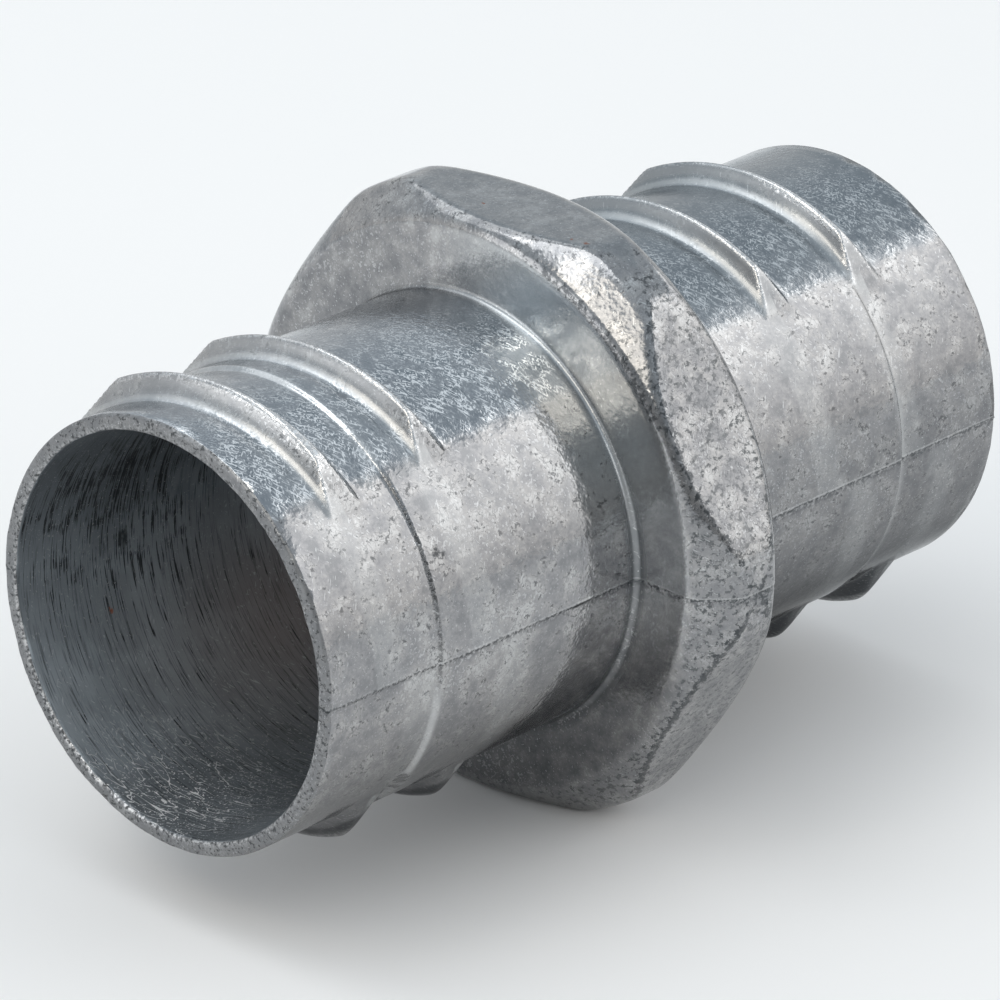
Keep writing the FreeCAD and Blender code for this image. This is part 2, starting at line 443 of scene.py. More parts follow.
# the noise runs along the bore and differs between the two sides
line_points = np.stack([x, 0 * x, np.sign(np.cos(bearing)) * 40], 1)
broken = np.clip(0.5 + 0.9 * ripple(line_points, FLASH_BREAKS, 3), 0, 1)
radius = radius + np.where(x < 5.2, NEAR_FLASH, FAR_FLASH) * flash * broken
radius = radius - DIE_SHIFT * (~in_bore) * (~upper) * ease(np.abs(z), 0.0, 0.15) * (1 - ease(np.abs(z), 2, 8))
radius = np.where(on_collar, np.minimum(radius, TURNED_RADIUS - COLLAR_MARGIN), radius)
print("parting line raised on", int((flash * broken > 0.5).sum()), "vertices")

# %% [markdown]
# Rims and waviness
#
# The rims are left rough, the near one has a notch and a chip, and no face of the casting is quite even.
# Sculpting would do it by hand, but it couldn't be repeated.
# Seeded noise gives the same roughness on every run, and only ever takes metal away, so the size holds.

# %% Roughen the rims and write the shape back
WAVE_DEPTH = 0.03
WAVE_SIZE = 9
WAVE_END = 38.5
RIM_START = 38.58
CHIP_START = 38.7
CHIP_DEPTH = 0.3
CHIP_ANGLE = 84.5
CHIP_WIDTH = 1.6
NOTCH_DEPTH = 0.35
NOTCH_ANGLE = -112.7
NOTCH_WIDTH = 1.2
RIM_ROUGHNESS = 0.07
RIM_SHIFT = 0.10
RIM_FINE = 0.9
RIM_COARSE = 3.0


def to_places():
    """The vertices' places in mm, from the place along the bore, the radius and the angle."""
    return np.stack([x, -radius * np.cos(bearing), radius * np.sin(bearing)], 1)


wave = WAVE_DEPTH * (0.5 + 0.5 * ripple(to_places(), WAVE_SIZE, 8)) * (~in_bore) * (np.abs(ring_x) < WAVE_END)
outer_rim = (ring_x < -CHIP_START) & (ring_radius > SPIGOT_RADIUS - 0.2)
chip = CHIP_DEPTH * np.exp(-((angle - CHIP_ANGLE) / CHIP_WIDTH) ** 2) * outer_rim
radius = radius - np.clip(wave, 0, WAVE_DEPTH) - chip
shape = to_places()
on_wall = (ring_radius > BORE_RADIUS + TOLERANCE) & (ring_radius < SPIGOT_RADIUS - 0.01)
rim = on_wall & (np.abs(ring_x) > RIM_START)
rough_rim = RIM_ROUGHNESS * (ripple(shape, RIM_FINE, 5) + ripple(shape, RIM_COARSE, 6)) - RIM_SHIFT
notch = NOTCH_DEPTH * np.exp(-((angle - NOTCH_ANGLE) / NOTCH_WIDTH) ** 2) * (ring_x < 0)
shape[:, 0] += np.where(rim, np.sign(ring_x) * (np.minimum(rough_rim, 0) - notch), 0)
coupling.data.vertices.foreach_set("co", (shape * MM).astype(np.float32).ravel())
coupling.data.update()
print("shape in mm", shape.min(0).round(2), shape.max(0).round(2))

# %% [markdown]
# Zones of wear, and painted light and shade
#
# Handling has scuffed the tops of the spigots and worn the crests bright, and the bore is dull. Other zones
# are painted light and shade: darker undersides and a darker far top, lighter bands beside the collar, and
# painted highlights on the crests, the ribs' feet, the step, the rim and the parting line.
# Such zones could be painted on by hand, but painting needs a window and can't be repeated.
# Here a zone is a share from 0 to 1 at every vertex, worked out from its place along the bore in mm,
# its angle in degrees and its height over the tube. The shares are stored on the mesh, and the
# material reads them.

# %% Helpers for zones


def hump(value, middle, half_width):
    """1 at the middle, and falling smoothly to 0 on both sides of it."""
    return np.exp(-((value - middle) / half_width) ** 2)


def between(value, none, full, wane, end):
    """Rises to 1 from none to full, and falls back to 0 from wane to end."""
    return ease(value, none, full) * (1 - ease(value, wane, end))


print("a hump one half-width from its middle is", round(float(hump(1.0, 0.0, 1.0)), 2))

# %% Scuffed tops of the spigots
FRAY = 1.6
FRAY_SIZE = 1.1
# place along the bore, angle, the half-widths of both, and how thickly the crossed scratches lie
WEB_SPOTS = (
    (-36.0, 68, 2.2, 12, 1.0), (-29.5, 66, 2.0, 10, 0.9), (-20.5, 62, 2.6, 9, 0.7), (-13.0, 80, 5.0, 14, 0.5),
    (11.0, 72, 4.0, 14, 0.5), (22.0, 70, 3.0, 14, 0.5), (33.0, 75, 3.0, 14, 0.5))
near = x < 0
plain_tube = on_spigot * (1 - ease(radius - tube, 0.05, 0.35))
frayed = angle + FRAY * ripple(shape, FRAY_SIZE, 9)
# the brushed band begins at a frayed line above the front, and is weaker on the far spigot
scuff = plain_tube * ease(frayed, 49.5, 53) * (1 - ease(angle, 105, 135)) * np.where(near, 1.0, 0.7)
# crossed scratches lie in patches, fine strokes fade towards the back, and a dusky strip runs along the top
web = np.zeros(vertex_count)
for spot_x, spot_angle, half_x, half_angle, thickness in WEB_SPOTS:
    web = web + thickness * hump(x, spot_x, half_x) * hump(angle, spot_angle, half_angle)
web = scuff * np.clip(web, 0, 1)
strokes = scuff * (1 - 0.85 * ease(angle, 64, 95))
dusk = scuff * hump(angle, 74, 12)
print("scuffed vertices", int((scuff > 0.5).sum()))

# %% Shade and light on the spigots
SHADE_ANGLES = (50, 57, 66, 86, 104, 130, 150)
SHADE_SHARES = (0, 0.4, 0.55, 0.6, 0.95, 0.95, 0.3)
# painted shade makes the far spigot's top dark towards the back, and painted light makes the near one light
# beside the collar
painted_far_shade = on_spigot * (~near) * np.interp(angle, SHADE_ANGLES, SHADE_SHARES)
painted_front_light = hump(x, -7.0, 3.0) * between(angle, 8, 24, 48, 60)
painted_top_light = 0.6 * hump(x, -8.5, 4.0) * between(angle, 72, 84, 110, 130)
root_painted_light = on_spigot * near * (painted_front_light + painted_top_light)
UNDER_NEAR_ANGLES = (-180, -130, -60, -35, -15)
UNDER_NEAR_SHARES = (0.0, 0.25, 0.4, 0.3, 0.05)
UNDER_FAR_ANGLES = (-180, -130, -90, -45, -35, -25, -5, 5, 15, 25)
UNDER_FAR_SHARES = (0.0, 0.5, 0.95, 0.95, 0.9, 0.52, 0.36, 0.36, 0.12, 0.0)
# painted shade: the undersides darken with the angle, and the lower ribs most of all
under_near_shade = np.interp(angle, UNDER_NEAR_ANGLES, UNDER_NEAR_SHARES)
under_far_shade = np.interp(angle, UNDER_FAR_ANGLES, UNDER_FAR_SHARES)
lower_rib_shade = 0.85 * (~upper) * ease(radius - tube, 0.45, 0.95) * np.where(angle < -150, 0.3, 1.0)
under = on_spigot * np.maximum(np.where(near, under_near_shade, under_far_shade), lower_rib_shade)
print("dull vertices underneath", int((under > 0.3).sum()))

# %% Ribs and step
on_rib = on_spigot * ease(radius - tube, 0.5, 0.9)
# the upper ribs' sides, and the two places where a rib is worn bare
flank = upper * on_rib * (1 - crest_share)
first_rib = (x < -31) * between(angle, 42, 50, 72, 84)
second_rib = (x > -26) * (x < -20) * between(angle, 46, 52, 58, 66)
worn_rib = on_rib * (first_rib + second_rib)
# the crests are worn bright, and a painted highlight makes the upper ones brightest on the camera's side
crest_highlight_to_camera = np.where(np.abs(angle) < 90, 1 - 0.7 * ease(np.abs(angle), 78, 94), 0.3)
crest = crest_share * crest_highlight_to_camera * np.where(upper, 1.0, 0.3)
# the step is pitted and carries a painted shade line at the front, and a painted highlight below and above it
step_pits_and_shade = on_spigot * hump(np.abs(x), STEP_X + 0.1, 0.12)
step_pits_and_shade = step_pits_and_shade * between(angle, -14, 2, 47, 52) * np.where(near, 1.0, 0.5)
step_highlight = on_spigot * hump(np.abs(x), STEP_X + np.where(near, 0.1, 0.4), 0.4)
near_step_highlight = np.maximum(ease(-angle, 2, 14), ease(angle, 51, 56))
step_highlight = step_highlight * np.where(near, near_step_highlight, 0.6 * ease(45 - angle, 0, 10))
print("crest vertices", int((crest > 0.5).sum()), "step vertices", int((step_pits_and_shade > 0.3).sum()))

# %% [markdown]
# Zones on the collar
#
# The collar's flats and chamfers are pitted, its edges are dark and ragged, its face is smoother, and the
# near face carries painted light and shade.
# A material of its own on each face would end in a hard line, so soft shares mark these places too.

# %% Flats, chamfers and edges of the collar
# the chamfers are darker and pitted, and towards the top both fade as painted light
chamfer = on_collar * ease(ring_radius, FACE_RADIUS - 0.3, FACE_RADIUS + 0.3)
chamfer = chamfer * ease(flat_radius - ring_radius, -0.2, 0.25) * (1 - 0.65 * ease(angle, 44, 54))
# the flats' edges are ragged, and so is a stretch of the near face's edge
edge = on_collar * hump(ring_radius, flat_radius, 0.5) * ease(ring_radius, FACE_RADIUS, FACE_RADIUS + 0.8)
edge = edge * np.where(angle < 0, 1.0, 0.8 - 0.35 * ease(angle, 50, 70))
teeth = on_collar * near * hump(ring_radius, FACE_RADIUS - 0.1, 0.4) * between(angle, 22, 38, 70, 84)
edge = np.maximum(edge, 0.85 * teeth)
# the top flat is smoother than the others, and painted shade makes it darker and bluer
on_flat = on_collar * ease(ring_radius - flat_radius, 0.0, 0.4)
top_flat = on_flat * (1 - ease(np.abs(angle - 90), 28, 34))
pitted = on_flat * (1 - 0.75 * top_flat)
print("flat vertices", int((on_flat > 0.5).sum()))

# %% Face and root of the collar
face = on_collar * (1 - ease(ring_radius, FACE_RADIUS - 0.6, FACE_RADIUS))
near_face = face * near
# painted light makes the near face light from the front to the top, with one gap of painted shade, and
# painted shade makes it dark below and behind
face_painted_light_strength = 1 + 0.9 * hump(angle, 72, 9) + 0.4 * hump(angle, 30, 9) - 0.4 * hump(angle, 50, 8)
face_painted_light = near_face * between(angle, -35, 35, 80, 105) * face_painted_light_strength
face_painted_shade = near_face * np.maximum(0.8 * ease(-angle, 25, 80), 0.5 * ease(angle, 92, 125))
face_reflection_gap = near_face * hump(angle, 62.5, 4.5)
# painted shade darkens the root's fillet below, where it is also duller, and flecks are rare on the face and
# the top flat
in_root = on_collar * (ring_radius < SHANK_RADIUS + ROOT_RADIUS + 0.05)
root_shade_and_dull = in_root * (1 - 0.7 * ease(angle, -5, 35))
fleck_room = (~in_bore) * (1 - 0.8 * face - 0.7 * top_flat)
print("face vertices", int((face > 0.5).sum()))

# %% [markdown]
# Zones in the bore
#
# The bore is painted darker round most of its wall and lightest low down at the back, as shade, and it is
# stained, with dark streaks that run round it at the back and fine scratches low down near the mouth.
# Drawn as shapes they would end too sharply, so they are shares that fade out on every side.

# %% Shade, stains and scratches in the bore
# painted shade: how much darker the bore is at each angle
BORE_SHADE_ANGLES = (-180, -165, -140, -120, -105, -75, -45, 0, 60, 100, 135, 165, 180)
BORE_SHADE_SHARES = (0.32, 0.05, 0.0, 0.25, 0.56, 0.72, 0.55, 0.45, 0.45, 0.55, 0.78, 0.64, 0.32)
bore_shade = in_bore * np.interp(angle, BORE_SHADE_ANGLES, BORE_SHADE_SHARES)
bore_warm = in_bore * hump(angle, -138, 30) * ease(x, -29, -19)
# counted on past 180 degrees, because the streaks lie across the back
behind = angle % 360
upper_streak = 0.95 * hump(behind, 160, 17) * hump(x, -29, 8)
middle_streak = 0.75 * hump(behind, 184, 10) * hump(x, -29, 7)
lower_streak = 0.35 * hump(behind, 198, 14) * hump(x, -25, 6)
bore_streak = in_bore * np.clip(upper_streak + middle_streak + lower_streak, 0, 1)
bore_scratch = in_bore * hump(angle, -98, 24) * ease(-x, 22, 34)
# painted highlight along the rim's inner edge, strongest low down towards the back
rim_lip_highlight = rim * hump(ring_radius, BORE_RADIUS + 0.12, 0.16) * (0.35 + 0.65 * hump(angle, -125, 40))
print("streaked vertices", int((bore_streak > 0.3).sum()))

# %% [markdown]
# Storing the zones
#
# An image could hold the zones, but it would need a UV map and a file.
# So they are stored as attributes of the vertices, which a material can read.
# Three zones share one vector, because each stored attribute costs time in the render.

# %% Store the zones on the mesh
zones = {
    "rim": rim, "crest": crest, "step_pits_and_shade": step_pits_and_shade, "scuff": scuff, "flank": flank, "foot": foot_share,
    "bore": in_bore, "bore_shade": bore_shade, "bore_warm": bore_warm,
    "bore_streak": bore_streak, "bore_scratch": bore_scratch, "rim_lip_highlight": rim_lip_highlight,
    "strokes": strokes, "dusk": dusk, "web": web,
    "painted_far_shade": painted_far_shade, "root_painted_light": root_painted_light, "under": under,
    "face": face, "face_painted_light": face_painted_light, "face_painted_shade": face_painted_shade,
    "face_reflection_gap": face_reflection_gap, "root_shade_and_dull": root_shade_and_dull, "fleck_room": fleck_room,
    "worn_rib": worn_rib, "step_highlight": step_highlight, "edge": edge,
    "top_flat": top_flat, "pitted": pitted, "chamfer": chamfer}
ZONES_A_VECTOR = 3
zone_names = list(zones)
zone_vectors = {}
for first in range(0, len(zone_names), ZONES_A_VECTOR):
    trio = zone_names[first:first + ZONES_A_VECTOR]
    layer = coupling.data.attributes.new(f"zones_{first // ZONES_A_VECTOR}", "FLOAT_VECTOR", "POINT")
    layer.data.foreach_set("vector", np.stack([zones[name] for name in trio], 1).astype(np.float32).ravel())
    zone_vectors[layer.name] = trio
print("zones", len(zones), "in vectors", len(zone_vectors))

# %% [markdown]
# Zinc as it left the die
#
# The real finish is bare zinc alloy as it left the die: to the eye a grey metal with a soft, blurred shine,
# clouded by flow marks and broken up by pits, flecks and fine scratches.
# A picture could be wrapped round the part, but it would bring its own light and end at the hidden side.
# So the metal is built from noise, which goes all the way round.

# %% Helpers for materials


def linear_colour(code):
    """Turns an sRGB hex colour into the linear values that shaders use."""
    values = [int(code[digit:digit + 2], 16) / 255 for digit in (1, 3, 5)]
    return [v / 12.92 if v <= 0.04045 else ((v + 0.055) / 1.055) ** 2.4 for v in values] + [1.0]


def add_node(tree, kind, settings=None, inputs=None):
    """Adds a node, sets its properties, and fills or links its inputs."""
    node = tree.nodes.new(kind)
    for name, value in (settings or {}).items():
        setattr(node, name, value)
    for name, value in (inputs or {}).items():
        if isinstance(value, bpy.types.NodeSocket):
            tree.links.new(value, node.inputs[name])
        else:
            node.inputs[name].default_value = value
    return node


print("middle grey is", round(linear_colour("#808080")[0], 3), "in linear light")

# %% Start the zinc and read the zones
zinc = bpy.data.materials.new("die_cast_zinc")
zinc.use_nodes = True
alloy = zinc.node_tree
alloy.nodes.clear()
output = add_node(alloy, "ShaderNodeOutputMaterial")
metal = add_node(alloy, "ShaderNodeBsdfPrincipled")
alloy.links.new(metal.outputs["BSDF"], output.inputs["Surface"])
spot = add_node(alloy, "ShaderNodeTexCoord").outputs["Object"]
spot_axes = add_node(alloy, "ShaderNodeSeparateXYZ", inputs={"Vector": spot}).outputs
zone = {}
for vector_name, trio in zone_vectors.items():
    stored = add_node(alloy, "ShaderNodeAttribute", {"attribute_name": vector_name})
    parts = add_node(alloy, "ShaderNodeSeparateXYZ", inputs={"Vector": stored.outputs["Vector"]})
    for name, axis in zip(trio, "XYZ"):
        zone[name] = parts.outputs[axis]
print("zones read", len(zone))

# %% [markdown]
# Patterns in the zinc
#
# Each mark on the casting has its own size: flow clouds of some millimetres, pits of half a millimetre,
# scratches that are long and thin. One noise texture can't give them all, so each gets its own,
# stretched to that size. The skin's real grain is about 0.05 mm and its scratches are thinner still,
# too fine to show at about 12 pixels a millimetre. So the grain is drawn at 0.3 mm and the scratches
# at 0.15 mm.

# %% Lay out the patterns
# size along X, Y and Z in mm, tilt in radians, octaves past the first, and how strong those are
PATTERNS = {
    "cloud": ((7.0, 7.0, 7.0), (0, 0, 0), 2.0, 0.5),
    "blotch": ((1.6, 1.6, 1.6), (0, 0, 0), 3.0, 0.6),
    "grain": ((0.30, 0.30, 0.30), (0, 0, 0), 2.0, 0.6),
    "vein": ((0.6, 0.6, 0.6), (0, 0, 0), 1.0, 0.6),
    "fleck": ((0.65, 0.48, 0.48), (0.4, 0.3, 0.5), 3.0, 0.7),
    "frost": ((0.15, 0.75, 0.75), (0, 0.2, 0.3), 2.0, 0.65),
    "needle": ((0.15, 1.1, 0.15), (0.5, 0.35, 0.9), 1.0, 0.5),
    "cross": ((0.15, 0.15, 1.0), (-0.7, 0.2, -0.6), 1.0, 0.5),
    "drag": ((0.15, 3.6, 3.6), (0, 0.05, 0.04), 2.0, 0.65),
    "thread": ((0.9, 4.0, 4.0), (0.5, 0.2, 0.15), 1.0, 0.5),
}
pattern = {}
for name, (mark_size, tilt, octaves, octave_strength) in PATTERNS.items():
    laid = add_node(
        alloy, "ShaderNodeMapping", {"vector_type": "TEXTURE"},
        {"Vector": spot, "Rotation": tilt, "Scale": [side * MM for side in mark_size]})
    texture = add_node(
        alloy, "ShaderNodeTexNoise", inputs={
            "Vector": laid.outputs["Vector"], "Scale": 1.0, "Detail": octaves, "Roughness": octave_strength})
    pattern[name] = texture.outputs["Fac"]
print("patterns", len(pattern))

# %% [markdown]
# The cloudy tone
#
# Zinc that cools unevenly in the die clouds from a darker to a paler grey.
# A single colour would look like paint, so three patterns are added up and a ramp turns the sum into greys.

# %% Mix the tone
TONE_SHARES = (("cloud", 0.35), ("blotch", 0.8), ("grain", 0.3))
# keeps the middle of the sum at 0.5
TONE_SHIFT = 0.5 - 0.5 * sum(share for name, share in TONE_SHARES)
TONES = ((0.36, "#8c8d8f"), (0.43, "#979799"), (0.50, "#a0a0a1"), (0.57, "#aaa9a9"), (0.64, "#bbbbbb"))
tone_sum = TONE_SHIFT
for name, share in TONE_SHARES:
    added = add_node(
        alloy, "ShaderNodeMath", {"operation": "MULTIPLY_ADD"}, {0: pattern[name], 1: share, 2: tone_sum})
    tone_sum = added.outputs[0]
tone = add_node(alloy, "ShaderNodeValToRGB", inputs={"Fac": tone_sum})
while len(tone.color_ramp.elements) < len(TONES):
    tone.color_ramp.elements.new(0.5)
for stop, (stop_place, code) in zip(tone.color_ramp.elements, TONES):
    stop.position = stop_place
    stop.color = linear_colour(code)
print("tones", len(tone.color_ramp.elements))

# %% [markdown]
# Where a mark begins and is full
#
# Noise stays near its middle value, so a pit or a scratch is the small part of it past a limit.
# A ramp for each would do, but a Map Range says plainly where a mark begins and where it is full.
# Thin lines come from the places where a pattern crosses its middle value, whichever way it goes.

# %% Sources of the marks
line_source = {}
for name in ("vein", "thread"):
    off_middle = add_node(alloy, "ShaderNodeMath", {"operation": "SUBTRACT"}, {0: pattern[name], 1: 0.5})
    away_from = add_node(alloy, "ShaderNodeMath", {"operation": "ABSOLUTE"}, {0: off_middle.outputs[0]})
    line_source[name] = away_from.outputs[0]
scratch = add_node(
    alloy, "ShaderNodeMath", {"operation": "MAXIMUM"}, {0: pattern["needle"], 1: pattern["cross"]}).outputs[0]
RAGGEDNESS = 0.7 * MM
lowered_z = add_node(
    alloy, "ShaderNodeMath", {"operation": "SUBTRACT"}, {0: spot_axes["Z"], 1: RAGGEDNESS / 2})
ragged_z = add_node(
    alloy, "ShaderNodeMath", {"operation": "MULTIPLY_ADD"},
    {0: pattern["fleck"], 1: RAGGEDNESS, 2: lowered_z.outputs[0]}).outputs[0]
clump = add_node(
    alloy, "ShaderNodeMath", {"operation": "MULTIPLY_ADD"},
    {0: pattern["blotch"], 1: 0.5, 2: pattern["drag"]})
drag_sum = add_node(
    alloy, "ShaderNodeMath", {"operation": "MULTIPLY_ADD"},
    {0: zone["bore_streak"], 1: 0.22, 2: clump.outputs[0]}).outputs[0]
ragged_edge = add_node(
    alloy, "ShaderNodeMath", {"operation": "MULTIPLY_ADD"},
    {0: pattern["fleck"], 1: 2.4, 2: zone["edge"]}).outputs[0]
print("lines from", sorted(line_source))

# %% Limits of the marks
# source, the value at which the mark begins, and the value at which it is full
LIMITS = {
    "edge_rough": (ragged_edge, 1.75, 2.05),
    "vein_line": (line_source["vein"], 0.040, 0.012),
    "thread_line": (line_source["thread"], 0.012, 0.004),
    "patch": (pattern["blotch"], 0.48, 0.56),
    "broad_patch": (pattern["blotch"], 0.43, 0.53),
    "wide_patch": (pattern["cloud"], 0.44, 0.56),
    "fleck_spot": (pattern["fleck"], 0.57, 0.62),
    "fleck_dense": (pattern["fleck"], 0.53, 0.585),
    "pits": (pattern["grain"], 0.57, 0.64),
    "dots": (pattern["grain"], 0.46, 0.54),
    "lights": (pattern["grain"], 0.43, 0.36),
    "beads": (pattern["grain"], 0.51, 0.42),
    "web_line": (scratch, 0.57, 0.64),
    "pinpoints": (scratch, 0.65, 0.70),
    "scratched": (scratch, 0.69, 0.75),
    "stroke_light": (pattern["frost"], 0.57, 0.64),
    "stroke_dark": (pattern["frost"], 0.42, 0.34),
    "drag_line": (drag_sum, 0.915, 0.965),
    "drag_soft": (pattern["drag"], 0.50, 0.66),
    "far": (spot_axes["X"], -60.0 * MM, 5.0 * MM),
    "line_top": (ragged_z, 0.18 * MM, 0.06 * MM),
    "line_foot": (ragged_z, -0.24 * MM, -0.12 * MM),
    "band_top": (ragged_z, 0.05 * MM, -0.02 * MM),
    "band_foot": (ragged_z, -0.75 * MM, -0.30 * MM),
    "lip_top": (spot_axes["Z"], 0.24 * MM, 0.14 * MM),
    "lip_foot": (spot_axes["Z"], 0.02 * MM, 0.10 * MM)}
levels = dict(zone)
for name, (source, begins, full) in LIMITS.items():
    limit = add_node(
        alloy, "ShaderNodeMapRange", {"interpolation_type": "SMOOTHSTEP"},
        {"Value": source, "From Min": begins, "From Max": full})
    levels[name] = limit.outputs["Result"]
levels["outside"] = add_node(
    alloy, "ShaderNodeMath", {"operation": "SUBTRACT"}, {0: 1.0, 1: zone["bore"]}).outputs[0]
levels["crackled"] = add_node(
    alloy, "ShaderNodeMath", {"operation": "MAXIMUM"}, {0: levels["patch"], 1: zone["pitted"]}).outputs[0]
print("limits", len(LIMITS))

# %% [markdown]
# Marks kept to their zones
#
# A scratch belongs on the scuffed top and a drag mark in the bore, and neither covers its zone evenly.
# Masks could be painted for each, but multiplying levels keeps a mark where all of them are strong.

# %% Multiply marks and zones
PRODUCTS = {
    "crackle": ("vein_line", "crackled", "fleck_room"),
    "flecks": ("fleck_spot", "patch", "fleck_room"),
    "specks": ("lights", "wide_patch"),
    "webbing": ("web_line", "web"),
    "scuff_light": ("stroke_light", "patch", "strokes"),
    "scuff_dark": ("stroke_dark", "strokes"),
    "dusk_patch": ("patch", "dusk"),
    "strewn_patch": ("web_line", "strokes", "broad_patch"),
    "hairs": ("thread_line", "broad_patch", "strokes"),
    "face_score": ("scratched", "face"),
    "chamfer_pits": ("fleck_dense", "chamfer"),
    "flat_pits": ("fleck_dense", "pitted"),
    "worn_pits": ("fleck_dense", "worn_rib"),
    "worn_lights": ("lights", "worn_rib"),
    "crest_beads": ("beads", "crest"),
    "step_pits": ("dots", "step_pits_and_shade"),
    "rim_pits": ("pits", "rim"),
    "rim_lip_glints": ("beads", "rim_lip_highlight"),
    "drags": ("drag_line", "bore"),
    "soft_drags": ("drag_soft", "bore"),
    "bore_cloud": ("wide_patch", "bore"),
    "scores": ("thread_line", "bore_scratch"),
    "glints": ("pinpoints", "bore_scratch"),
    "seam_line": ("line_top", "line_foot", "dots", "outside"),
    # on the far spigot, painted shade below the parting line and a painted highlight above it
    "seam_far_shade": ("band_top", "band_foot", "dots", "far", "outside"),
    "seam_highlight": ("lip_top", "lip_foot", "far", "outside")}
for name, (factor, *other_factors) in PRODUCTS.items():
    levels[name] = levels[factor]
    for other in other_factors:
        both = add_node(
            alloy, "ShaderNodeMath", {"operation": "MULTIPLY"}, {0: levels[name], 1: levels[other]})
        levels[name] = both.outputs[0]
print("mark levels", len(levels))

# %% [markdown]
# Colours of the marks
#
# Pits and stains are darker than the tone, fresh scratches and worn crests are nearly white, painted
# highlights are pale, painted shade is dark, and the bore is dull. Layers of whole materials would be slow,
# so every mark is mixed into one colour, the later ones over the earlier.

# %% Lay the marks over the tone
# level, strength at its fullest, and colour
MARKS = (
    # painted light and painted shade on the near face
    ("face_painted_light", 0.55, "#c6cacc"),
    ("face_painted_shade", 0.55, "#4b4f53"),
    # painted light beside the collar on the near spigot
    ("root_painted_light", 0.55, "#e0e2e2"),
    # painted shade on the root's fillet below
    ("root_shade_and_dull", 0.60, "#606467"),
    ("flecks", 0.75, "#5c5d5f"),
    ("crackle", 0.35, "#595c5f"),
    ("specks", 0.40, "#dfe0e1"),
    # painted shade on the undersides
    ("under", 1.00, "#484b4e"),
    # painted shade on the top flat
    ("top_flat", 0.42, "#747b80"),
    ("flat_pits", 0.55, "#54585a"),
    # painted shade: a gap in the near face's painted light
    ("face_reflection_gap", 0.25, "#5f6a72"),
    # darker chamfers, painted lighter towards the top
    ("chamfer", 0.35, "#74777a"),
    ("chamfer_pits", 0.62, "#4c5052"),
    ("edge_rough", 0.70, "#43474a"),
    ("scuff", 0.35, "#909da8"),
    ("dusk_patch", 0.45, "#626f79"),
    ("scuff_dark", 0.50, "#56636c"),
    ("scuff_light", 0.70, "#f2f5f7"),
    ("strewn_patch", 0.92, "#fafbfc"),
    ("hairs", 0.85, "#fafbfc"),
    # painted shade on the far spigot's top
    ("painted_far_shade", 0.72, "#5f6c74"),
    ("flank", 0.50, "#b0b1b2"),
    ("worn_pits", 0.65, "#4a4e51"),
    ("worn_lights", 0.60, "#e8e9ea"),
    ("webbing", 0.95, "#fafbfc"),
    # painted highlight in the hollow along the steep foot
    ("foot", 0.40, "#d8dada"),
    # painted shade along the step at the front, with its pits
    ("step_pits_and_shade", 0.25, "#55595b"),
    ("step_pits", 0.70, "#34383a"),
    # painted highlight beside the step
    ("step_highlight", 0.50, "#d2d3d3"),
    ("rim", 0.60, "#747678"),
    ("rim_pits", 0.75, "#3f4244"),
    # painted highlight, beaded, on the rim's inner edge
    ("rim_lip_glints", 0.90, "#ececec"),
    ("seam_line", 0.72, "#3f4345"),
    # painted shade under the far parting line and a painted highlight above it
    ("seam_far_shade", 0.60, "#54575a"),
    ("seam_highlight", 0.30, "#d8d9d9"),
    # worn crests and their beads, with a painted highlight strongest on the camera's side
    ("crest", 0.70, "#e4e4e4"),
    ("crest_beads", 0.85, "#fafafa"),
    ("bore", 0.85, "#aab3ba"),
    # painted shade in the bore
    ("bore_shade", 0.85, "#262b2f"),
    ("bore_cloud", 0.20, "#262c31"),
    ("bore_warm", 0.65, "#8a7871"),
    ("soft_drags", 0.45, "#191e21"),
    ("drags", 0.80, "#0b0e10"),
    ("scores", 0.95, "#ffffff"),
    ("glints", 0.95, "#ffffff"),
    ("face_score", 0.40, "#dcdedf"),
    ("scratched", 0.45, "#dcdedf"))
colour = tone.outputs["Color"]
for name, strength, code in MARKS:
    cover = add_node(alloy, "ShaderNodeMath", {"operation": "MULTIPLY"}, {0: levels[name], 1: strength})
    mixed = add_node(
        alloy, "ShaderNodeMix", {"data_type": "RGBA"},
        {"Factor": cover.outputs[0], "A": colour, "B": linear_colour(code)})
    colour = mixed.outputs["Result"]
print("marks", len(MARKS))

# %% [markdown]
# Rust specks and one dark inclusion
#
# A few specks of rust show on the casting, and a dark inclusion lies beside the step.
# They are single spots, so each is the distance from its own place, made ragged by the grain.

# %% Add the spots
# place in mm, size in mm, and colour
STAINS = (
    ((-29.7, 15.5, -6.2), 0.55, "#a8582a"), ((-1.6, 2.2, 24.75), 0.35, "#8c4a26"),
    ((-1.5, -8.9, 24.75), 0.5, "#8c4a26"), ((-1.8, -7.6, 24.6), 0.4, "#8c4a26"),
    ((-25.7, -16.2, 8.5), 1.0, "#3f4143"), ((-25.1, -16.4, 8.0), 0.75, "#3f4143"))
STAIN_STRENGTH = 0.85
for stain_place, stain_size, code in STAINS:
    away = add_node(
        alloy, "ShaderNodeVectorMath", {"operation": "DISTANCE"},
        {0: spot, 1: [side * MM for side in stain_place]})
    ragged = add_node(
        alloy, "ShaderNodeMath", {"operation": "MULTIPLY_ADD"},
        {0: pattern["grain"], 1: 1.6 * stain_size * MM, 2: away.outputs["Value"]})
    stain = add_node(
        alloy, "ShaderNodeMapRange", {"interpolation_type": "SMOOTHSTEP"},
        {"Value": ragged.outputs[0], "From Min": 1.35 * stain_size * MM, "From Max": 0.9 * stain_size * MM,
         "To Max": STAIN_STRENGTH})
    mixed = add_node(
        alloy, "ShaderNodeMix", {"data_type": "RGBA"},
        {"Factor": stain.outputs[0], "A": colour, "B": linear_colour(code)})
    colour = mixed.outputs["Result"]
alloy.links.new(colour, metal.inputs["Base Color"])
print("spots", len(STAINS))

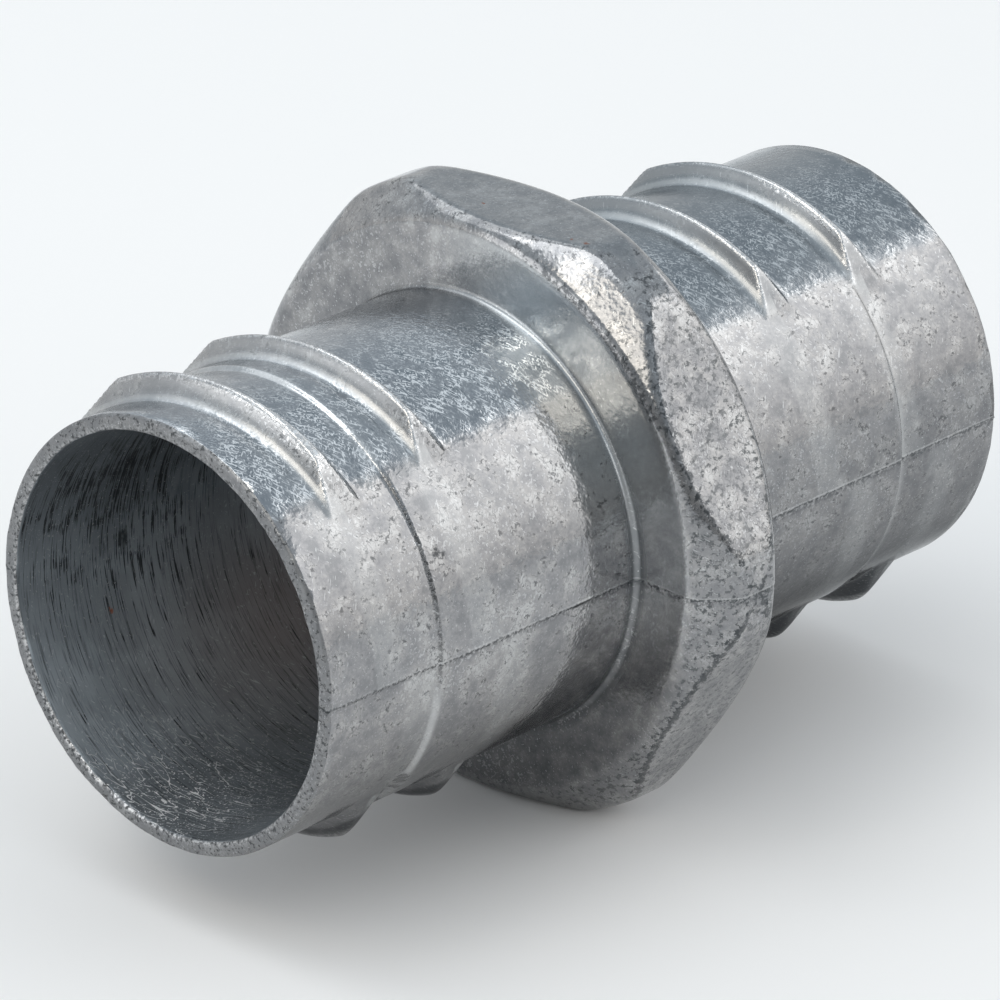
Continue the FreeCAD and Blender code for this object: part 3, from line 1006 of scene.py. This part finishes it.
# %% [markdown]
# Shine and relief
#
# Bare zinc is a metal with a low roughness, and the oxide in the bore is duller and less metallic.
# Part of the shine that a metal has at a grazing angle is held back on the underside, as painted shade in its
# reflections.
# The finest unevenness is too small for the mesh, so a bump of a few hundredths of a millimetre
# breaks up the reflections.

# %% Set the shine
BORE_OXIDE = -0.6
# painted shade: dims the underside's grazing reflections
UNDER_GRAZING = -0.3
POLISH = 0.13
DULLER = (
    ("crackle", 0.10), ("face", 0.07), ("root_shade_and_dull", 0.20), ("foot", 0.22), ("flank", 0.15), ("bore", 0.34),
    ("rim", 0.25))
bare = add_node(
    alloy, "ShaderNodeMath", {"operation": "MULTIPLY_ADD"}, {0: zone["bore"], 1: BORE_OXIDE, 2: 1.0})
alloy.links.new(bare.outputs[0], metal.inputs["Metallic"])
grazing = add_node(
    alloy, "ShaderNodeMath", {"operation": "MULTIPLY_ADD"}, {0: zone["under"], 1: UNDER_GRAZING, 2: 1.0})
alloy.links.new(grazing.outputs[0], metal.inputs["Specular Tint"])
dullness = POLISH
for name, strength in DULLER:
    duller = add_node(
        alloy, "ShaderNodeMath", {"operation": "MULTIPLY_ADD"}, {0: levels[name], 1: strength, 2: dullness})
    dullness = duller.outputs[0]
alloy.links.new(dullness, metal.inputs["Roughness"])
print("roughness", POLISH, "outside and", round(POLISH + dict(DULLER)["bore"], 2), "in the bore")

# %% Set the relief
# level or pattern, and its height in mm
RELIEF = (
    ("blotch", 0.04), ("vein", 0.010), ("grain", 0.003), ("frosted", 0.02),
    ("rim_pits", -0.05), ("crest_beads", 0.05), ("step_pits", -0.03))
RIB_CALM = -0.7
frosted = add_node(
    alloy, "ShaderNodeMath", {"operation": "MULTIPLY"}, {0: pattern["frost"], 1: zone["scuff"]})
heights = {**levels, **pattern, "frosted": frosted.outputs[0]}
relief_height = 0.0
for name, depth in RELIEF:
    raised = add_node(
        alloy, "ShaderNodeMath", {"operation": "MULTIPLY_ADD"},
        {0: heights[name], 1: depth, 2: relief_height})
    relief_height = raised.outputs[0]
rib_side = add_node(alloy, "ShaderNodeMath", {"operation": "MAXIMUM"}, {0: zone["flank"], 1: zone["foot"]})
calm = add_node(
    alloy, "ShaderNodeMath", {"operation": "MULTIPLY_ADD"}, {0: rib_side.outputs[0], 1: RIB_CALM, 2: 1.0})
relief = add_node(
    alloy, "ShaderNodeBump", inputs={"Height": relief_height, "Distance": MM, "Strength": calm.outputs[0]})
alloy.links.new(relief.outputs["Normal"], metal.inputs["Normal"])
coupling.data.materials.append(zinc)
print("zinc nodes", len(alloy.nodes))

# %% [markdown]
# The floor
#
# The coupling lies on matt white paper, which carries its soft shadow.
# A curved backdrop would do as well, but from this height only the floor is seen.
# It lies at the collar's lowest flat, and is wide enough to fill the view from all sides.

# %% Lay the floor
FLOOR_RADIUS = 3.0
bpy.ops.object.select_all(action="DESELECT")
bpy.ops.mesh.primitive_circle_add(
    vertices=64, radius=FLOOR_RADIUS, fill_type="NGON", location=(0, 0, -FLAT_RADIUS * MM))
floor = bpy.context.object
floor.name = "pale_floor"
paper = bpy.data.materials.new("matt_white_paper")
paper.use_nodes = True
# paper scatters light evenly and shows next to no shine
sheet = paper.node_tree.nodes["Principled BSDF"]
sheet.inputs["Base Color"].default_value = linear_colour("#f2f1f0")
sheet.inputs["Roughness"].default_value = 0.9
sheet.inputs["Specular IOR Level"].default_value = 0.1
floor.data.materials.append(paper)
print("floor at", round(floor.location.z / MM, 2), "mm")

# %% [markdown]
# The lamps
#
# Metal shows its form by what it mirrors, so a studio lights it with broad panels and not with points.
# A wide panel stands to the camera's right, a narrower and brighter one hangs at the upper left,
# and three more light the top, the back and the left.
# Their strength is given as brightness, because that is what the metal mirrors, and the area turns it
# to watts.

# %% Hang the softboxes
# name, azimuth and elevation in degrees, distance, width and height in m, brightness, colour, tilt in degrees
SOFTBOXES = (
    ("right_softbox", -48, 20, 0.8, 1.7, 0.80, 1.30, "#fffaf5", 0),
    ("key_softbox", -168, 44, 0.7, 0.52, 0.20, 2.3, "#fff6e8", -26),
    ("overhead_softbox", 145, 68, 0.7, 0.44, 0.30, 1.7, "#ffffff", 0),
    ("back_softbox", 98, 50, 0.7, 0.60, 0.36, 0.6, "#ffffff", 0),
    ("left_softbox", 158, 16, 0.8, 0.45, 0.30, 1.0, "#ffffff", 0))


def direction_to(azimuth, elevation):
    """The direction at an azimuth from +X towards +Y and an elevation, both in degrees."""
    round_z = math.radians(azimuth)
    above = math.radians(elevation)
    return Vector((math.cos(round_z) * math.cos(above), math.sin(round_z) * math.cos(above), math.sin(above)))


def add_softbox(name, azimuth, elevation, distance, width, height, brightness, code, tilt):
    """A rectangular lamp that faces the coupling."""
    towards = direction_to(azimuth, elevation)
    lamp = bpy.data.lights.new(name, "AREA")
    lamp.shape = "RECTANGLE"
    lamp.size = width
    lamp.size_y = height
    lamp.energy = brightness * math.pi * width * height
    lamp.color = linear_colour(code)[:3]
    holder = bpy.data.objects.new(name, lamp)
    bpy.context.scene.collection.objects.link(holder)
    holder.location = towards * distance
    holder.rotation_mode = "QUATERNION"
    tilted = Quaternion((0, 0, 1), math.radians(tilt))
    holder.rotation_quaternion = (-towards).to_track_quat("-Z", "Y") @ tilted
    return lamp


softboxes = {row[0]: add_softbox(*row) for row in SOFTBOXES}
print("watts", {name: round(lamp.energy, 2) for name, lamp in softboxes.items()})

# %% Make the right softbox brightest along its top
right_lamp = softboxes["right_softbox"]
right_lamp.use_nodes = True
diffuser = right_lamp.node_tree
diffuser.nodes.clear()
beam = add_node(diffuser, "ShaderNodeEmission")
diffuser.links.new(beam.outputs["Emission"], add_node(diffuser, "ShaderNodeOutputLight").inputs["Surface"])
panel = add_node(diffuser, "ShaderNodeNewGeometry").outputs["Parametric"]
panel_axes = add_node(diffuser, "ShaderNodeSeparateXYZ", inputs={"Vector": panel})
falloff = add_node(
    diffuser, "ShaderNodeMapRange", inputs={"Value": panel_axes.outputs["Y"], "To Min": 0.0, "To Max": 1.0})
diffuser.links.new(falloff.outputs[0], beam.inputs["Strength"])
print("diffuser nodes", len(diffuser.nodes))

# %% [markdown]
# The room
#
# The room is pale, bluer overhead and dimmer behind the camera, which gives the metal something to mirror
# all round. Walls could be built for it, but the world's colour does the same: a ramp over the height,
# and one soft dark side.

# %% Colour the room
ROOM_LOW = "#e8e9e9"
ROOM_HIGH = "#d4dde4"
ROOM_HIGH_FROM = 0.60
DARK_SIDE = (-0.81, -0.58, -0.05)
DARK_SIDE_SHARE = 0.5
world = bpy.data.worlds.new("pale_studio_room")
bpy.context.scene.world = world
world.use_nodes = True
room = world.node_tree
room.nodes.clear()
walls = add_node(room, "ShaderNodeOutputWorld")
glow = add_node(room, "ShaderNodeBackground", inputs={"Strength": 1.0})
room.links.new(glow.outputs["Background"], walls.inputs["Surface"])
direction = add_node(room, "ShaderNodeTexCoord").outputs["Generated"]
room_axes = add_node(room, "ShaderNodeSeparateXYZ", inputs={"Vector": direction})
shade = add_node(room, "ShaderNodeValToRGB", inputs={"Fac": room_axes.outputs["Z"]})
for stop, stop_place, code in zip(shade.color_ramp.elements, (0.0, ROOM_HIGH_FROM), (ROOM_LOW, ROOM_HIGH)):
    stop.position = stop_place
    stop.color = linear_colour(code)
towards_dark = add_node(
    room, "ShaderNodeVectorMath", {"operation": "DOT_PRODUCT"}, {0: direction, 1: DARK_SIDE})
dim = add_node(
    room, "ShaderNodeMapRange", {"interpolation_type": "SMOOTHSTEP"},
    {"Value": towards_dark.outputs["Value"], "From Min": 0.50, "From Max": 0.97,
     "To Min": 1.0, "To Max": DARK_SIDE_SHARE})
dimmed = add_node(
    room, "ShaderNodeVectorMath", {"operation": "SCALE"},
    {0: shade.outputs["Color"], "Scale": dim.outputs["Result"]})
room.links.new(dimmed.outputs["Vector"], glow.inputs["Color"])
print("room nodes", len(room.nodes))

# %% [markdown]
# The camera
#
# The camera looks down on the near mouth from the left, through a long lens that hardly narrows the far end.
# It could be aimed at an empty object, but its direction, roll and offset were fitted to the mouths and
# the outline, so it is set by those numbers.

# %% Place the camera
CAMERA_AZIMUTH = -46.849
CAMERA_ELEVATION = 25.092
CAMERA_ROLL = 1.17
CAMERA_DISTANCE = 651.2
CAMERA_OFFSET = (0.90, 0.88)
CAMERA_LENS = 291.7
SENSOR_WIDTH = 36
roll = math.radians(CAMERA_ROLL)
camera_back = direction_to(CAMERA_AZIMUTH - 90, CAMERA_ELEVATION)
level_right = direction_to(CAMERA_AZIMUTH, 0)
level_up = camera_back.cross(level_right)
camera_right = level_right * math.cos(roll) + level_up * math.sin(roll)
camera_up = level_up * math.cos(roll) - level_right * math.sin(roll)
lens = bpy.data.cameras.new("studio_camera")
lens.lens = CAMERA_LENS
lens.sensor_width = SENSOR_WIDTH
lens.clip_start = 0.01
lens.clip_end = 20
camera = bpy.data.objects.new("studio_camera", lens)
bpy.context.scene.collection.objects.link(camera)
camera.rotation_mode = "QUATERNION"
camera.rotation_quaternion = Matrix((camera_right, camera_up, camera_back)).transposed().to_quaternion()
offset = camera_right * CAMERA_OFFSET[0] + camera_up * CAMERA_OFFSET[1]
camera.location = (camera_back * CAMERA_DISTANCE - offset) * MM
bpy.context.scene.camera = camera
bpy.context.scene.view_settings.view_transform = "Standard"
print("camera at", [round(side, 3) for side in camera.location], "m")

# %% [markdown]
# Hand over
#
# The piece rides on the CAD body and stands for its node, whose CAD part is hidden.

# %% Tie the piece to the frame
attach(coupling, "root")
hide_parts("coupling_body")
